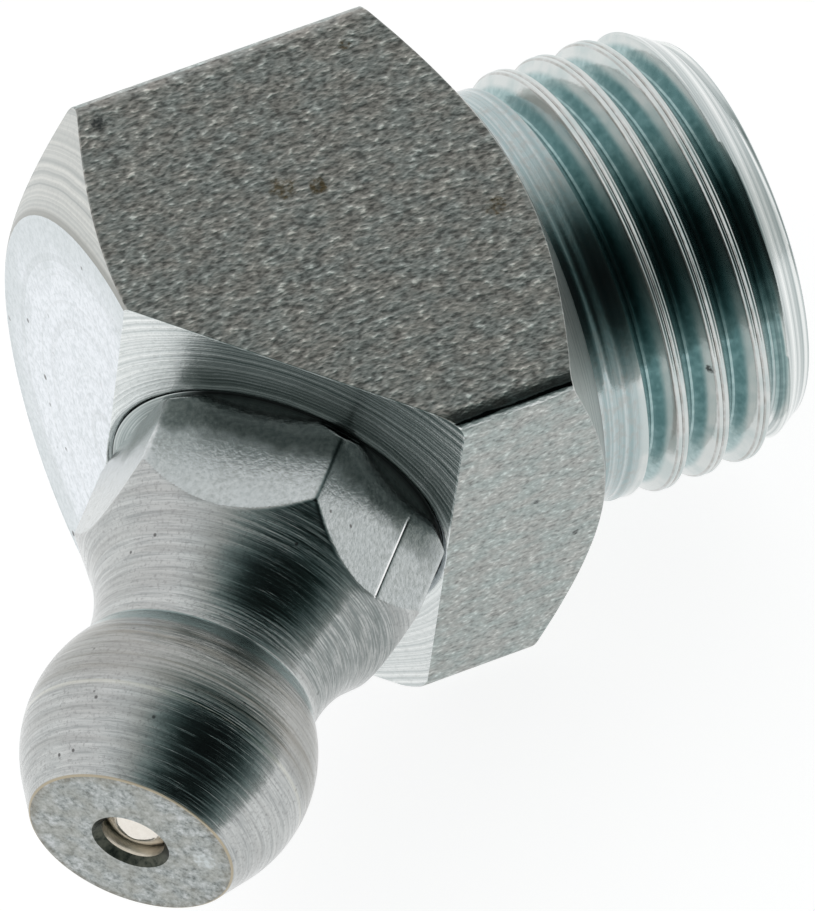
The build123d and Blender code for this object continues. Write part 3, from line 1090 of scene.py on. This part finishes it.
def floor():
    side = FLOOR_HALF
    low = -FLAT - FLOOR_GAP
    corners = [(-side, -side, low), (side, -side, low), (side, side, low), (-side, side, low)]
    obj = mesh_object("floor", corners, [(0, 1, 2, 3)])
    material = bpy.data.materials.new("floor_paper")
    material.use_nodes = True
    tree = material.node_tree
    tree.nodes.clear()
    output = tree.nodes.new("ShaderNodeOutputMaterial")
    diffuse = tree.nodes.new("ShaderNodeBsdfDiffuse")
    diffuse.inputs["Color"].default_value = (FLOOR_COLOUR, FLOOR_COLOUR, FLOOR_COLOUR, 1)
    glow = tree.nodes.new("ShaderNodeEmission")
    path = tree.nodes.new("ShaderNodeLightPath")
    seen = tree.nodes.new("ShaderNodeMath")
    seen.operation = "MAXIMUM"
    tree.links.new(path.outputs["Is Camera Ray"], seen.inputs[0])
    tree.links.new(path.outputs["Is Glossy Ray"], seen.inputs[1])
    more = tree.nodes.new("ShaderNodeMath")
    more.operation = "MAXIMUM"
    tree.links.new(seen.outputs[0], more.inputs[0])
    tree.links.new(path.outputs["Is Transmission Ray"], more.inputs[1])
    level = tree.nodes.new("ShaderNodeMath")
    level.operation = "MULTIPLY"
    level.inputs[1].default_value = FLOOR_GLOW
    tree.links.new(more.outputs[0], level.inputs[0])
    tree.links.new(level.outputs[0], glow.inputs["Strength"])
    both = tree.nodes.new("ShaderNodeAddShader")
    tree.links.new(diffuse.outputs[0], both.inputs[0])
    tree.links.new(glow.outputs[0], both.inputs[1])
    tree.links.new(both.outputs[0], output.inputs["Surface"])
    obj.data.materials.append(material)


# The studio is white all round but for a dark place above the viewer: cosine from its middle, and level
DARK_PLACE = Vector((0.28, -0.52, 0.81)).normalized()
STUDIO_LEVELS = (
    (-1.0, (1.0, 1.0, 1.0)),
    (0.0, (1.0, 1.0, 1.0)),
    (0.26, (0.88, 0.90, 0.90)),
    (0.54, (0.53, 0.555, 0.54)),
    (0.70, (0.23, 0.29, 0.285)),
    (0.84, (0.050, 0.080, 0.078)),
    (0.91, (0.013, 0.022, 0.021)),
    (1.0, (0.006, 0.008, 0.008)),
)


def world():
    scene = bpy.context.scene
    scene.world = bpy.data.worlds.new("studio")
    scene.world.use_nodes = True
    tree = scene.world.node_tree
    tree.nodes.clear()
    output = tree.nodes.new("ShaderNodeOutputWorld")
    place = tree.nodes.new("ShaderNodeTexCoord")
    toward = tree.nodes.new("ShaderNodeVectorMath")
    toward.operation = "DOT_PRODUCT"
    toward.inputs[1].default_value = DARK_PLACE
    tree.links.new(place.outputs["Generated"], toward.inputs[0])
    half = tree.nodes.new("ShaderNodeMath")
    half.operation = "MULTIPLY_ADD"
    half.inputs[1].default_value = 0.5
    half.inputs[2].default_value = 0.5
    tree.links.new(toward.outputs["Value"], half.inputs[0])
    ramp = tree.nodes.new("ShaderNodeValToRGB")
    tree.links.new(half.outputs[0], ramp.inputs["Fac"])
    elements = ramp.color_ramp.elements
    elements[0].position = 0
    elements[1].position = 1
    elements[0].color = (*STUDIO_LEVELS[0][1], 1)
    elements[1].color = (*STUDIO_LEVELS[-1][1], 1)
    for cosine, level in STUDIO_LEVELS[1:-1]:
        elements.new(0.5 + 0.5 * cosine).color = (*level, 1)
    lit = tree.nodes.new("ShaderNodeBackground")
    tree.links.new(ramp.outputs["Color"], lit.inputs["Color"])
    white = tree.nodes.new("ShaderNodeBackground")
    white.inputs["Color"].default_value = (1, 1, 1, 1)
    path = tree.nodes.new("ShaderNodeLightPath")
    mix = tree.nodes.new("ShaderNodeMixShader")
    tree.links.new(path.outputs["Is Camera Ray"], mix.inputs[0])
    tree.links.new(lit.outputs[0], mix.inputs[1])
    tree.links.new(white.outputs[0], mix.inputs[2])
    tree.links.new(mix.outputs[0], output.inputs["Surface"])


# Camera, fitted to the photograph
CAMERA_PLACE = (-115.169, -176.717, 317.999)
CAMERA_RIGHT = Vector((0.8991, -0.4304, 0.0802))
CAMERA_UP = Vector((0.3240, 0.7774, 0.5392))
CAMERA_LENS = 762.31
CAMERA_SENSOR = 36.0


def camera():
    data = bpy.data.cameras.new("camera")
    data.sensor_fit = "HORIZONTAL"
    data.sensor_width = CAMERA_SENSOR
    data.lens = CAMERA_LENS
    data.clip_start = 0.01
    data.clip_end = 10
    obj = bpy.data.objects.new("camera", data)
    right = CAMERA_RIGHT.normalized()
    back = right.cross(CAMERA_UP).normalized()
    up = back.cross(right)
    turn = Matrix((right, up, back)).transposed().to_4x4()
    obj.matrix_world = Matrix.Translation(Vector(CAMERA_PLACE) * MM) @ turn
    bpy.context.scene.collection.objects.link(obj)
    bpy.context.scene.camera = obj


dress()
floor()
world()
camera()
bpy.context.scene.view_settings.view_transform = "Standard"

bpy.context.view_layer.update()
